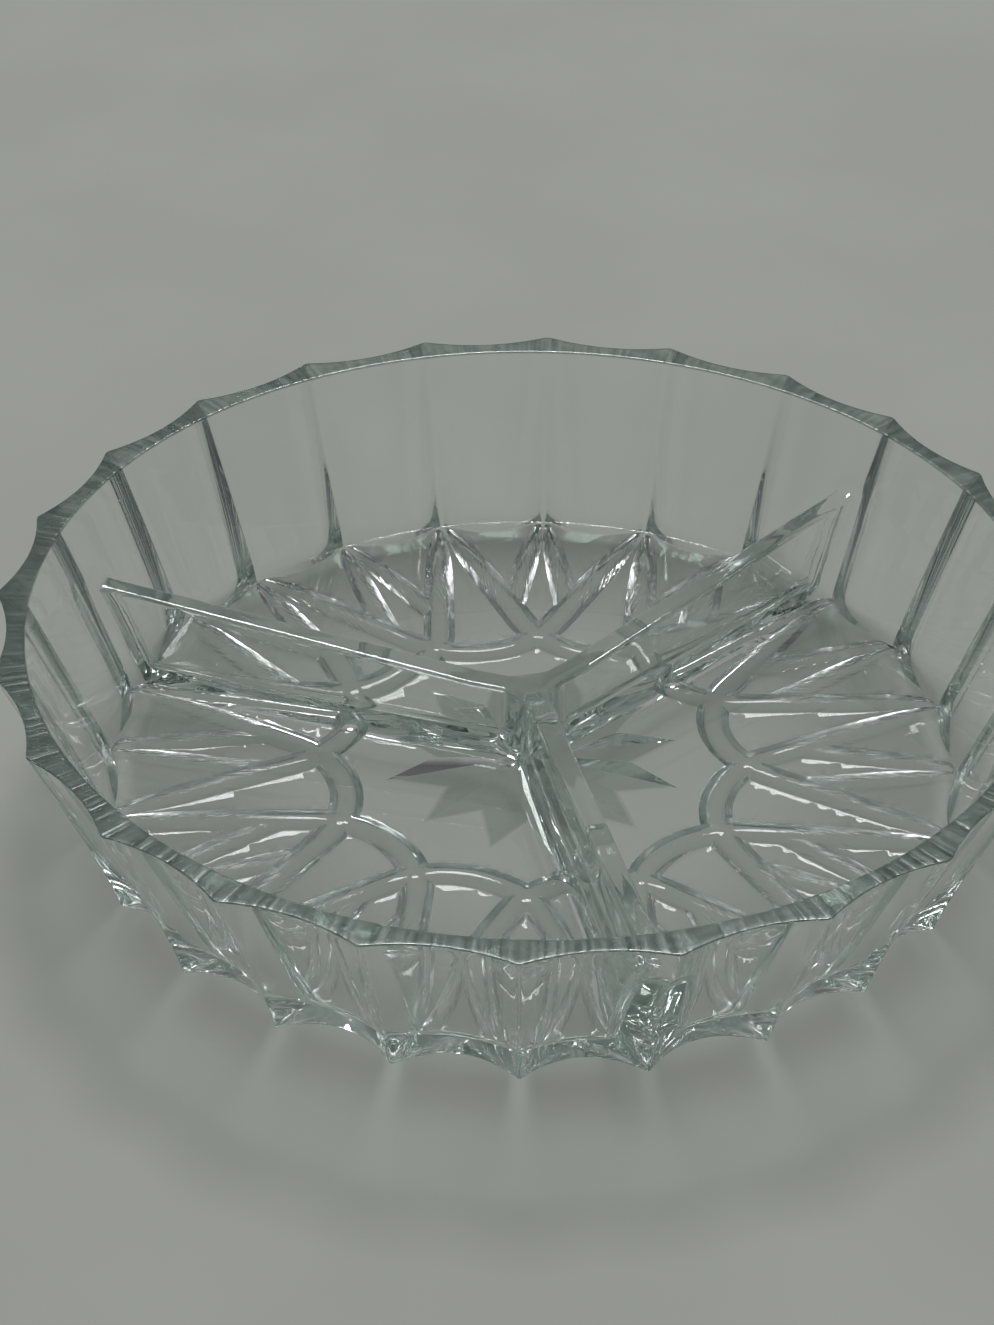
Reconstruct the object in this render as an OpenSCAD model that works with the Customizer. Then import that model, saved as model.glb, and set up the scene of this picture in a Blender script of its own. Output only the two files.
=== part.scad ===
// Divided relish dish: one pressing of clear glass with a faint green cast.
// Millimetres, +Z up. The origin is the centre of the underside, and one divider runs along -Y.

/* [Dish] */
// Diameter of the rim, across the tips of the ridges
rim_diameter = 200; // [190:1:230]
// Height from the table to the top of the rim
dish_height = 39; // [36:0.5:55]
// Diameter at the table, across the tips of the ridges
foot_diameter = 170; // [167:1:175]
// Width of the rim's flat top, from the tip of a ridge to the mouth
rim_width = 6.5; // [6:0.25:10]
// Distance at the table from the tip of a ridge in to the inner wall, as if it met the floor in a corner
heel_inset = 5; // [4.5:0.25:9]
// Thickness of the floor
floor_thickness = 6; // [5:0.25:9]
// Radius of the fillet between floor and wall
heel_fillet = 1.5; // [1:0.25:6]

/* [Flutes] */
// Number of hollow flutes round the wall
flute_count = 24; // [18:6:30]
// Hollow of a flute at the rim, from the chord between its ridges
flute_depth_rim = 2.2; // [1.6:0.1:3]
// Hollow of a flute at the table, from the chord between its ridges
flute_depth_foot = 4.6; // [3.2:0.1:4.9]

/* [Dividers] */
// Width of a divider along its crest, where it meets the wall
crest_width = 4; // [3:0.25:6]
// Height of the crest above the table at the hub
crest_height_hub = 20.5; // [16:0.5:25]
// Height of the crest above the table where it meets the wall
crest_height_wall = 26; // [21:0.5:30]
// Slope of a divider's sides from upright, in degrees
divider_draft = 4.5; // [2:0.5:8]
// Radius of the fillet along the foot of a divider
foot_fillet = 3; // [1.5:0.25:4]
// Radius of the upright fillets between a divider and the wall
wall_fillet = 3.5; // [3:0.5:8]
// Radius of the fillet from the crest up the wall
crest_fillet = 2; // [1.5:0.5:6]
// Distance from the centre to the ends of the hub's arms
hub_reach = 12; // [10:0.5:16]
// Radius of the round post at the centre, at the height of the crest
post_radius = 5; // [4.75:0.25:7]

/* [Underside pattern] */
// Distance from the centre to the tips of the star
star_tip_radius = 28.6; // [24:0.2:31]
// Distance from the centre to the notches between the star's points
star_notch_radius = 19; // [15:0.2:22]
// Depth of the star at its centre
star_depth = 3; // [1:0.1:3.6]
// Distance from the centre to the crown of an arch
arch_crown_radius = 36.5; // [35:0.25:39]
// Radius of an arch's round head, along the middle of the groove
arch_head_radius = 20; // [19:0.25:23]
// Width of the groove round an arch's head
head_groove_width = 6.2; // [5.8:0.1:7]
// Depth of the groove round an arch's head
head_groove_depth = 2; // [1.9:0.1:2.6]
// Width of an arch's legs where they leave its head
leg_groove_width = 5.7; // [4.8:0.1:5.8]
// Depth of an arch's legs where they leave its head
leg_groove_depth = 1.8; // [1.5:0.1:1.85]
// Width of a spearhead's grooves where they leave the arches
spear_groove_width = 5.2; // [4:0.1:5.4]
// Depth of a spearhead's grooves where they leave the arches
spear_groove_depth = 1.5; // [1:0.1:1.6]
// Angle from a ridge to the inner ends of its spearhead's grooves, in degrees
spear_spread = 6.5; // [5:0.25:8]
// Distance by which the grooves stop short of the ridges at the table
groove_margin = 2.5; // [2:0.1:4]
// Distance between the tips of the two grooves that end at one ridge
tip_gap = 1.6; // [1.2:0.1:2.4]

/* [Hidden] */
$fn = 96;
glass = [0.76, 0.83, 0.79];
// Length by which a cutting shape runs past what it cuts
over = 1;
// Thickness at which a fillet's thin edge is cut off
fillet_toe = 0.15;
// Steps in a fillet that is drawn point by point
fillet_steps = 8;

rim_radius = rim_diameter / 2;
foot_radius = foot_diameter / 2;
mouth_radius = rim_radius - rim_width;
floor_radius = foot_radius - heel_inset;

// Lean of the inner wall from upright, and the part of the floor that the heel fillet takes up
inner_lean = atan((mouth_radius - floor_radius) / (dish_height - floor_thickness));
plate_radius = floor_radius - heel_fillet * tan((90 - inner_lean) / 2);

// Each flute is cut by a leaning cone that touches the wall along the middle of the flute
pitch = 360 / flute_count;
rim_valley = rim_radius * cos(pitch / 2) - flute_depth_rim;
foot_valley = foot_radius * cos(pitch / 2) - flute_depth_foot;
valley_lean = atan((rim_valley - foot_valley) / dish_height);
// Radius of a level cut through the flute, at its middle
rim_curve = (rim_radius * sin(pitch / 2)) ^ 2 / (2 * flute_depth_rim);
foot_curve = (foot_radius * sin(pitch / 2)) ^ 2 / (2 * flute_depth_foot);
cone_angle = atan((rim_curve - foot_curve) / dish_height);
cone_lean = valley_lean + cone_angle;
cone_scale = cos(cone_angle) / cos(valley_lean);
cone_past_foot = 3;
cone_past_rim = 5;
// The flutes are cut in turns, so that no two cones of one turn meet
flute_turns = 3;
// The wall's blank is wider than its ridges, so that neighbouring flutes meet in a sharp edge
blank_spare = 0.6;

// Dividers: a drafted section, cut off along the sloping crest and fitted to the hollow
divider_angles = [-90, 30, 150];
wall_reach = mouth_radius + over;
crest_slope = (crest_height_wall - crest_height_hub) / (floor_radius - hub_reach);
crest_top = max(crest_height_hub, crest_height_wall) + crest_fillet;
draft_run = tan(divider_draft);
// Width of a bar that takes in a divider and the fillets on both its sides, with room to spare
divider_span = 2 * (half_width(floor_thickness) + wall_fillet + over);
// Distance from the centre to the corners of the hub's block
hub_span = hub_reach / cos(180 / len(divider_angles));

// Underside pattern: an arch at every second ridge and a spearhead at the ridges between
arch_count = flute_count / 2;
groove_turns = 6;
groove_end = foot_radius - groove_margin;
arch_centre = arch_crown_radius + arch_head_radius;
head_round = groove_round(head_groove_width, head_groove_depth);
// Plan points of an arch on the X axis: its straight leg runs from leg_start to a ridge two pitches away
tip_turn = asin(tip_gap / 2 / groove_end);
leg_end = groove_end * [cos(2 * pitch - tip_turn), sin(2 * pitch - tip_turn)];
leg_sight = leg_end - [arch_centre, 0];
leg_start_angle = atan2(leg_sight.y, leg_sight.x) + acos(arch_head_radius / norm(leg_sight));
leg_start = [arch_centre, 0] + arch_head_radius * [cos(leg_start_angle), sin(leg_start_angle)];
// A spearhead's groove runs from the middle of that leg to the ridge one pitch away
spear_end = groove_end * [cos(pitch + tip_turn), sin(pitch + tip_turn)];
spear_ray = [cos(pitch + spear_spread), sin(pitch + spear_spread)];
leg_share = side_of(spear_ray, leg_start) / side_of(spear_ray, leg_start - leg_end);
spear_start = leg_start + (leg_end - leg_start) * leg_share;

// Radius of the round section of a groove
function groove_round(width, depth) = (width ^ 2 / 4 + depth ^ 2) / (2 * depth);

// How far a plan point lies to the left of a ray from the centre
function side_of(ray, point) = ray.x * point.y - ray.y * point.x;

// Radius of the inner wall at a height
function wall_at(z) = floor_radius + (z - floor_thickness) * tan(inner_lean);

// Height of the crest at a distance from the centre
function crest_at(x) = crest_height_hub + (x - hub_reach) * crest_slope;

// Half of a divider's width at a height
function half_width(z) = crest_width / 2 + (crest_height_wall - z) * draft_run;

// Width that is lost where a fillet's thin edge is cut off
function toe_cut(radius) = sqrt(2 * radius * fillet_toe - fillet_toe ^ 2);

// Points round a fillet from its centre
function arc(centre, radius, from, to) =
    [for (i = [0 : fillet_steps])
        let (a = from + (to - from) * i / fillet_steps)
        centre + radius * [cos(a), sin(a)]];

// Inner face of the dish in section, round the heel and up the wall
inner_face = concat(
    arc([plate_radius, floor_thickness + heel_fillet], heel_fillet, -90, -inner_lean),
    [[mouth_radius, dish_height]]
);

// Space inside the dish, above the floor
module hollow() {
    rotate_extrude()
        polygon(concat([[0, floor_thickness]], inner_face, [[0, dish_height]]));
}

module flute_cutter() {
    foot_round = foot_curve * cone_scale;
    rim_round = rim_curve * cone_scale;
    taper = tan(cone_angle);
    translate([foot_valley + foot_round * cos(cone_lean), 0, -foot_round * sin(cone_lean)])
        rotate([0, cone_lean, 0])
            translate([0, 0, -cone_past_foot])
                cylinder(
                    h = dish_height * cone_scale + cone_past_foot + cone_past_rim,
                    r1 = foot_round - cone_past_foot * taper,
                    r2 = rim_round + cone_past_rim * taper
                );
}

// A round groove that narrows from its start and fades out at its end
module fading_groove(start, end, width, depth) {
    way = end - start;
    run = norm(way);
    taper = depth / run;
    start_round = groove_round(width, depth);
    translate([start.x, start.y, depth - start_round])
        rotate([0, 90, atan2(way.y, way.x)])
            translate([0, 0, -over])
                cylinder(h = run + 2 * over, r1 = start_round, r2 = start_round - depth - taper * over);
}

// Round head of an arch on the X axis
module arch_head() {
    translate([arch_centre, 0, head_groove_depth - head_round])
        rotate([0, 0, leg_start_angle])
            rotate_extrude(angle = 360 - 2 * leg_start_angle)
                translate([arch_head_radius, 0]) circle(r = head_round);
}

// One leg of an arch on the X axis
module arch_leg(mirrored) {
    mirror([0, mirrored, 0]) fading_groove(leg_start, leg_end, leg_groove_width, leg_groove_depth);
}

// One groove of the spearhead between that arch and the next
module spear_groove(mirrored) {
    rotate([0, 0, pitch]) mirror([0, mirrored, 0]) rotate([0, 0, -pitch])
        fading_groove(spear_start, spear_end, spear_groove_width, spear_groove_depth);
}

// Grooves of one kind all round the underside, none of which touches another:
// every second arch head in turns 0 and 1, legs in 2 and 3, spearheads in 4 and 5
module groove_set(turn) {
    for (i = [0 : arch_count - 1])
        rotate([0, 0, 2 * pitch * i]) {
            if (turn < 2 && i % 2 == turn) arch_head();
            if (turn == 2 || turn == 3) arch_leg(turn - 2);
            if (turn > 3) spear_groove(turn - 4);
        }
}

// Cuts the grooves into a piece, one set after another
module with_grooves(turn = 0) {
    difference() {
        if (turn < groove_turns - 1)
            with_grooves(turn + 1) children();
        else
            children();
        groove_set(turn);
    }
}

// Cuts the flutes into a piece, one turn after another
module with_flutes(turn = 0) {
    difference() {
        if (turn < flute_turns - 1)
            with_flutes(turn + 1) children();
        else
            children();
        for (i = [turn : flute_turns : flute_count - 1])
            rotate([0, 0, pitch * (i + 0.5)]) flute_cutter();
    }
}

// All facets of the star slope up to one point above the centre of the underside
module star() {
    corners = flute_count;
    grow = 1 + over / star_depth;
    outline = [for (i = [0 : corners - 1])
        let (r = grow * (i % 2 == 0 ? star_tip_radius : star_notch_radius))
        [r * cos(pitch * i), r * sin(pitch * i), -over]];
    facets = [for (i = [0 : corners - 1]) [corners, (i + 1) % corners, i]];
    underside = [for (i = [0 : corners - 1]) i];
    polyhedron(concat(outline, [[0, 0, star_depth]]), concat([underside], facets));
}

module floor_plate() {
    color(glass)
        with_grooves()
            difference() {
                cylinder(h = floor_thickness, r = plate_radius);
                star();
            }
}

module fluted_wall() {
    inner_face_down = [for (i = [len(inner_face) - 1 : -1 : 0]) inner_face[i]];
    blank = [
        [plate_radius, 0],
        [foot_radius + blank_spare, 0],
        [rim_radius + blank_spare, dish_height]
    ];
    color(glass)
        with_grooves()
            with_flutes()
                rotate_extrude() polygon(concat(blank, inner_face_down));
}

// Drafted section of a divider, widened on each side
module drafted_section(widen) {
    foot = half_width(floor_thickness) + widen;
    top = half_width(crest_top) + widen;
    polygon([[-foot, floor_thickness], [foot, floor_thickness], [top, crest_top], [-top, crest_top]]);
}

// Section of a divider with the fillets along its foot
module footed_section() {
    side = half_width(floor_thickness);
    reach = foot_fillet - toe_cut(foot_fillet);
    drafted_section(0);
    difference() {
        translate([-side - reach, floor_thickness]) square([2 * (side + reach), foot_fillet]);
        for (hand = [-1, 1])
            translate([hand * (side + foot_fillet), floor_thickness + foot_fillet])
                circle(r = foot_fillet);
    }
}

// Turns a section across the divider into a bar along +X
module along_divider(start, end) {
    translate([start, 0, 0]) rotate([90, 0, 90]) linear_extrude(end - start) children();
}

// Side view of a divider: the sloping crest, and the fillet that climbs the wall
module crest_profile() {
    slope_angle = atan(crest_slope);
    lift = crest_fillet / cos(slope_angle);
    inset = crest_fillet / cos(inner_lean);
    centre_x = (wall_at(crest_at(0) + lift) - inset) / (1 - crest_slope * tan(inner_lean));
    centre = [centre_x, crest_at(centre_x) + lift];
    toe_angle = acos(1 - fillet_toe / crest_fillet);
    climb = arc(centre, crest_fillet, slope_angle - 90, -inner_lean - toe_angle);
    polygon(concat(
        [[wall_reach, floor_thickness], [hub_reach, floor_thickness], [hub_reach, crest_height_hub]],
        climb,
        [[wall_reach, climb[fillet_steps].y]]
    ));
}

// Upright fillets where the sides of a divider run into the wall
module wall_fillets() {
    reach = wall_fillet - toe_cut(wall_fillet);
    inset = wall_fillet / cos(inner_lean);
    foot_x = floor_radius - inset;
    top_x = wall_at(crest_top) - inset;
    tool_length = 4 * crest_top;
    difference() {
        intersection() {
            along_divider(foot_x, wall_reach) drafted_section(reach);
            rotate([90, 0, 0])
                linear_extrude(divider_span, center = true)
                    polygon([[foot_x, floor_thickness], [wall_reach, floor_thickness],
                             [wall_reach, crest_top], [top_x, crest_top]]);
        }
        for (hand = [-1, 1])
            translate([foot_x, hand * (half_width(floor_thickness) + wall_fillet), floor_thickness])
                rotate([hand * divider_draft, inner_lean, 0])
                    cylinder(h = tool_length, r = wall_fillet, center = true);
    }
}

// One divider along +X
module divider() {
    color(glass)
        intersection() {
            union() {
                along_divider(hub_reach, wall_reach) footed_section();
                wall_fillets();
            }
            rotate([90, 0, 0])
                linear_extrude(divider_span, center = true) crest_profile();
            hollow();
        }
}

// Space beside a divider on its left (hand 1) or right (hand -1), in section
module beside_section(hand) {
    difference() {
        translate([min(0, hand * hub_span), floor_thickness - over])
            square([hub_span, crest_top - floor_thickness + over]);
        footed_section();
    }
}

// The hub is a block with a corner cut away between each two of its arms
module divider_hub() {
    post_foot = post_radius + (crest_height_hub - floor_thickness) * draft_run;
    arm_step = 360 / len(divider_angles);
    bar_end = 2 * hub_span;
    corners = [for (angle = divider_angles)
        hub_span * [cos(angle + arm_step / 2), sin(angle + arm_step / 2)]];
    color(glass)
        difference() {
            translate([0, 0, floor_thickness])
                linear_extrude(crest_height_hub - floor_thickness) polygon(corners);
            for (angle = divider_angles)
                difference() {
                    intersection() {
                        rotate([0, 0, angle])
                            along_divider(-bar_end, bar_end) beside_section(1);
                        rotate([0, 0, angle + arm_step])
                            along_divider(-bar_end, bar_end) beside_section(-1);
                    }
                    translate([0, 0, floor_thickness])
                        cylinder(h = crest_top, r1 = post_foot, r2 = post_foot - crest_top * draft_run);
                }
        }
}

module divider_front() {
    rotate([0, 0, divider_angles[0]]) divider();
}

module divider_right() {
    rotate([0, 0, divider_angles[1]]) divider();
}

module divider_left() {
    rotate([0, 0, divider_angles[2]]) divider();
}

floor_plate();
fluted_wall();
divider_hub();
divider_front();
divider_right();
divider_left();
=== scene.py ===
"""Pressed-glass relish dish with three compartments, dressed over its solids. Lengths are in metres."""

import math

import bmesh
import bpy
import numpy as np
from mathutils import Matrix, Vector
from mathutils.geometry import delaunay_2d_cdt


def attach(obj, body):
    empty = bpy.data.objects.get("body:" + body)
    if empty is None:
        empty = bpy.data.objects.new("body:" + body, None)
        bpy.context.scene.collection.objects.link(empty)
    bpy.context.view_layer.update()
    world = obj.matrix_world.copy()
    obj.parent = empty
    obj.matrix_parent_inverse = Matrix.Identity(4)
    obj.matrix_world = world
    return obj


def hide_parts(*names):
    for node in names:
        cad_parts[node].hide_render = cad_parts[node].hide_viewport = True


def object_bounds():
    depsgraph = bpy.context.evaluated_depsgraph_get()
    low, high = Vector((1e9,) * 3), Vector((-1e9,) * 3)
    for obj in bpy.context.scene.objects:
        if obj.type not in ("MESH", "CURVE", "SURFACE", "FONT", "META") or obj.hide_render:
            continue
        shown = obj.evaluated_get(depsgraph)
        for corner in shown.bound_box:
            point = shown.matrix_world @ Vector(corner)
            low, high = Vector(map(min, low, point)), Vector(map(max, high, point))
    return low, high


bl_info = {
    "name": "Pressed-glass relish dish",
    "version": (1, 0, 0),
    "blender": (4, 5, 0),
    "location": "3D View > Sidebar > Relish Dish",
    "description": "Builds a divided relish dish in pressed glass, and the stage it is shown on",
    "category": "Add Mesh",
}

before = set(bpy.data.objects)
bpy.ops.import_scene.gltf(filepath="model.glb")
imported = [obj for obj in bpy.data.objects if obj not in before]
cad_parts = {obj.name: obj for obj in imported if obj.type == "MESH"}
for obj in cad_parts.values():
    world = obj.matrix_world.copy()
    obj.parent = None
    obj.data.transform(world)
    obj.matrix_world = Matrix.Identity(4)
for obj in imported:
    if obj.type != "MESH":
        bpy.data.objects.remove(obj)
SOLID_LOW, SOLID_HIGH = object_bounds()

MM = 0.001
RIM_ACROSS_MM = (SOLID_HIGH.x - SOLID_LOW.x) / MM
DISH_HEIGHT_MM = (SOLID_HIGH.z - SOLID_LOW.z) / MM

# Fineness of the mesh
HALVINGS = 34
PLAN_TOLERANCE = 0.002 * MM
WELD_DISTANCE = 0.004 * MM
FLUTE_STEPS = 24
RIDGE_CROWDING = 0.75
WALL_STEPS = 18
EDGE_STEPS = 6
RIM_STEPS = 3

# Lines and loose points of the inner face: levels are shares of the crest's height above the floor
CONTOUR_LEVELS = (
    0.0005, 0.004, 0.012, 0.03, 0.06, 0.1, 0.16, 0.24, 0.34, 0.46, 0.58, 0.7, 0.82, 0.9,
    0.935, 0.955, 0.972, 0.985, 0.995, 1.03, 1.08, 1.15, 1.23,
)
CONTOUR_RAYS = 360
CONTOUR_MIDDLE = 0.6
CREST_SHARES = (-1, -0.5, 0, 0.5, 1)
CREST_STEP = 1.2 * MM
WALL_RING_STEP = 2.2 * MM
EDGE_MARGIN = 0.6 * MM
FLOOR_STEP = 3 * MM
FLOOR_CLEAR = 1.2 * MM
NEARLY_ALL = 0.999

# Lines and loose points of the underside: shares are of a groove's half width and of the star's radius
GROOVE_SHARES = (0.3, 0.5, 0.65, 0.78, 0.89, 0.96, 1)
GROOVE_GAPS = (0.06 * MM, 0.14 * MM)
GROOVE_STEP = 1.2 * MM
GROOVE_CAP = 2  # half widths
HEAD_STEPS = 36
LEAST_HALF_WIDTH = 0.3 * MM
STAR_SHARES = (0.04, 0.3, 0.6, 1)
UNDER_STEP = 2.7 * MM
FLAT_MARGIN = 1.6  # depths of a flute

# Which edges of the star stay sharp
STAR_REACH = 1.001
UNDER_SHARE = 0.9
CREASE_ANGLE = math.radians(6)

# Where the finish and the painted shade change outward: shares of the floor's radius, and the width of the
# star's fade
FIELD_BAND = (0.45, 0.875)
RIB_BAND = (0.6, 0.75)
HEEL_BAND = (0.9375, 0.9875)
WALL_BAND = (0.975, 1.0125)
STAR_EDGE = 1 * MM

# Where the finish and the painted shade change upward: below the rim, above the table, and in shares of the
# floor's thickness
RIM_DROPS = (0.5 * MM, 0.1 * MM)
TABLE_BAND = (0.03 * MM, 0.25 * MM)
FOOT_BAND = (8 * MM, 20 * MM)
FLOOR_BAND = (0.7, 0.8)

# Part of the wave round the wall that is a ridge
RIDGE_BAND = (0.8, 1)

# Scale and detail of each noise, and the part of its values that is used
STREAK_NOISE = (70, 3)
SATIN_RANGE = (0.2, 0.8)
RIM_NOISE = (320, 3)
RIM_RANGE = (0.35, 0.68)
POLISH_NOISE = (90, 4)
POLISH_RANGE = (0.45, 0.75)
PAPER_NOISE = (14, 3)
PAPER_RANGE = (0.3, 0.7)
RIPPLE_DETAIL = 2.5
NOISE_MIDDLE = 0.5

# Stage: glows are cosines of the angle from a bright side of the room, and the sensor is in millimetres
CEILING_GLOW = (0.5, 1)
SIDE_GLOW = (0.3, 0.9)
FLOOR_SIDES = 96
SENSOR_LENGTH = 36
NEAREST_SEEN = 10 * MM
BOUNCES = {
    "max_bounces": 40,
    "glossy_bounces": 32,
    "transmission_bounces": 32,
    "transparent_max_bounces": 24,
}


def length(name, millimetres, description):
    """A length that a user can set."""
    return bpy.props.FloatProperty(
        name=name, description=description, default=millimetres * MM, min=0, unit="LENGTH", precision=5
    )


def position(name, default, description):
    """A point that a user can set."""
    return bpy.props.FloatVectorProperty(
        name=name, description=description, default=default, size=3, unit="LENGTH"
    )


def angle(name, degrees, description):
    """An angle that a user can set."""
    return bpy.props.FloatProperty(
        name=name, description=description, default=math.radians(degrees), subtype="ANGLE"
    )


def colour(name, default, description):
    """A colour that a user can set."""
    return bpy.props.FloatVectorProperty(
        name=name, description=description, default=default, size=3, min=0, max=1, subtype="COLOR"
    )


def amount(name, default, description):
    """A plain number that a user can set."""
    return bpy.props.FloatProperty(name=name, description=description, default=default, min=0)


class DishSizes(bpy.types.PropertyGroup):
    """Sizes of the pressing."""

    rim_diameter: length("Rim diameter", RIM_ACROSS_MM, "Across the tips of the ridges at the rim")
    height: length("Height", DISH_HEIGHT_MM, "From the table to the top of the rim")
    foot_diameter: length("Foot diameter", 170, "Across the tips of the ridges at the table")
    rim_width: length("Rim width", 6.5, "From the tip of a ridge to the mouth")
    heel_inset: length("Heel inset", 5, "From a ridge at the table to the inner wall")
    floor_thickness: length("Floor thickness", 6, "Thickness of the floor")
    heel_fillet: length("Heel fillet", 1.5, "Radius between floor and wall")
    rim_softness: length("Rim softness", 0.4, "Width of the rim's rounding")
    foot_softness: length("Foot softness", 0.4, "Width of the rounding at the table")

    flute_count: bpy.props.IntProperty(
        name="Flutes", description="Hollow flutes round the wall", default=24, min=6
    )
    flute_depth_rim: length("Flute depth at rim", 2.2, "Hollow of a flute at the rim")
    flute_depth_foot: length("Flute depth at foot", 4.6, "Hollow of a flute at the table")
    ridge_softness: length("Ridge softness", 0.8, "Fire polish along the ridges")

    crest_width: length("Crest width", 4, "Width of a divider along its crest, at the wall")
    crest_height_hub: length("Crest height at hub", 20.5, "Height of the crest at the hub")
    crest_height_wall: length("Crest height at wall", 26, "Height of the crest where it meets the wall")
    crest_round: length("Crest rounding", 0.7, "Radius along the edges of the crest")
    divider_draft: angle("Divider draft", 4.5, "Slope of a divider's sides from upright")
    foot_fillet: length("Foot fillet", 3, "Radius along the foot of a divider")
    wall_fillet: length("Wall fillet", 3.5, "Radius between a divider's sides and the wall")
    crest_fillet: length("Crest fillet", 2, "Radius between a divider's crest and the wall")
    hub_fillet: length("Hub fillet", 4, "Radius between two dividers at the hub")
    hub_reach: length("Hub reach", 12, "From the centre to where the crests start to climb")

    star_tip_radius: length("Star tips", 28.6, "From the centre to the tips of the star")
    star_notch_radius: length("Star notches", 19, "From the centre to the notches of the star")
    star_depth: length("Star depth", 3, "Depth of the star at its centre")
    arch_crown_radius: length("Arch crowns", 36.5, "From the centre to the crown of an arch")
    arch_head_radius: length("Arch heads", 20, "Radius of an arch's round head")
    arch_groove_width: length("Arch groove width", 6.2, "Width of an arch's groove")
    arch_groove_depth: length("Arch groove depth", 2, "Depth of an arch's groove")
    spear_groove_width: length("Spear groove width", 5.2, "Width of a spearhead's grooves at their start")
    spear_groove_depth: length("Spear groove depth", 1.5, "Depth of a spearhead's grooves at their start")
    spear_spread: angle("Spear spread", 6.5, "From a ridge to its spearhead's inner ends")
    groove_margin: length("Groove margin", 2.5, "From the grooves' tips to the ridges at the table")
    tip_gap: length("Tip gap", 1.6, "Between two grooves' tips at one ridge")
    groove_squareness: amount("Groove squareness", 3.5, "2 for round grooves, more for flat ones")
    groove_roundness: amount("Groove roundness", 1.7, "Squareness of the grooves at their outer ends")
    groove_bluntness: amount("Groove bluntness", 3, "1 for grooves that fade evenly, more for blunt ends")
    groove_swell: amount("Groove swell", 0.7, "Share added to their depth towards the wall")
    groove_softness: length("Groove softness", 0.3, "Fire polish along the edges of the grooves")


class GlassLook(bpy.types.PropertyGroup):
    """Finish of the glass."""

    clear: colour("Clear glass", (0.99, 0.995, 0.992), "Colour of a polished face")
    tint: colour("Tint", (0.25, 0.48, 0.38), "Colour gained with thickness")
    tint_density: amount("Tint density", 8, "Strength of the tint, per metre")
    refraction: amount("Refraction", 1.52, "Index of refraction of the glass")
    dullness: amount("Dullness", 0.06, "Roughness of the dullest patches on a polished face")
    ripple_height: length("Ripple height", 0.06, "Height of the mould's slow ripples")
    ripple_scale: amount("Ripple scale", 55, "Ripples per metre")

    # Painted shade: the star, grooves and fields get darker colours that stand in for the shade on the
    # pattern and on the table under it
    star_painted_shade: colour("Star", (0.50, 0.55, 0.52), "Colour of the star, which keeps the mould's skin")
    groove_painted_shade: colour("Grooves", (0.58, 0.63, 0.60), "Colour of the grooves, which keep the mould's skin")
    field_painted_shade: colour("Fields", (0.52, 0.56, 0.53), "Colour between the grooves, out by the wall")
    rib_height: length("Rib height", 0.3, "Height of the fine ribs along the grooves")

    # Painted shade: the rim's colours are dark, mottled in streaks, and near black to light from inside the
    # wall
    rim_painted_shade_dark: colour("Rim, dark streaks", (0.11, 0.165, 0.14), "Darkest colour of the ground rim")
    rim_painted_shade_pale: colour("Rim, pale streaks", (0.34, 0.42, 0.38), "Palest colour of the ground rim")
    rim_painted_shade_inside: colour("Rim, from inside", (0.006, 0.009, 0.0075), "Colour of the rim to light from inside")
    rim_speckle: amount("Rim speckle", 0.6, "Share of specks, against streaks, in the rim's colour")
    rim_gloss: amount("Rim gloss", 0.1, "Roughness of the smoothest streaks of the rim")
    rim_satin: amount("Rim satin", 0.25, "Roughness of the roughest streaks of the rim")
    grind_height: length("Grinding height", 0.12, "Height of the grinding marks on the rim")

    face_shade: amount("Light through a face", 0.97, "Share that a face passes to the table, met squarely")
    edge_shade: amount("Light through an edge", 0.8, "Share that a face passes to the table, met edge on")
    rim_shade: amount("Light through the rim", 0.7, "Share that the ground rim passes to the table")
    foot_shade: amount("Light through the foot", 0.82, "Share that the wall's foot passes to the table")
    ridge_shade: amount("Light through a ridge", 1.0, "Share that a ridge passes to the table")


class StageLook(bpy.types.PropertyGroup):
    """Floor, light and camera."""

    floor_colour: colour("Floor colour", (0.345, 0.362, 0.334), "Colour of the paper under the dish")
    floor_mottle: amount("Floor mottle", 0.03, "Share by which the paper's colour varies")
    floor_roughness: amount("Floor roughness", 0.9, "Roughness of the paper")
    floor_sheen: amount("Floor sheen", 0.1, "Strength of the paper's reflections")
    floor_gap: length("Floor gap", 0.2, "Air between the table and the underside")
    floor_radius: length("Floor radius", 4000, "Radius of the floor")
    room_light: amount("Room brightness", 0.06, "Brightness on every side")
    ceiling_light: amount("Ceiling brightness", 0.12, "Brightness added overhead")
    back_light: amount("Back wall brightness", 0.28, "Brightness added behind the dish")
    front_light: amount("Front wall brightness", 0.2, "Brightness added in front of the dish")
    lamp_power: bpy.props.FloatProperty(
        name="Lamp power", description="Power of the soft lamp", default=2090, min=0, unit="POWER"
    )
    lamp_size: length("Lamp size", 4800, "Diameter of the soft lamp")
    lamp_distance: length("Lamp distance", 16000, "From the dish to the lamp")
    lamp_tilt: angle("Lamp tilt", 31, "From straight above towards the back")
    lamp_turn: angle("Lamp turn", 75.9, "Bearing of the lamp from +X")
    camera_place: position("Camera place", (-0.11373, -0.45346, 0.36209), "Where the camera stands")
    camera_aim: position("Camera aim", (-0.00487, 0.00988, 0.02), "Point that the camera looks at")
    camera_roll: angle("Camera roll", 0.48, "Turn about the line of sight")
    camera_lens: amount("Camera lens", 83.73, "Focal length in millimetres, on a sensor 36 mm long")


def smooth_least(a, b, reach):
    """The smaller of two values, rounded where they differ by less than reach."""
    blend = np.clip(1 - np.abs(a - b) / reach, 0, 1)
    return np.minimum(a, b) - blend * blend * reach / 4


def smooth_most(a, b, reach):
    """The larger of two values, rounded where they differ by less than reach."""
    return -smooth_least(-a, -b, reach)


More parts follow.
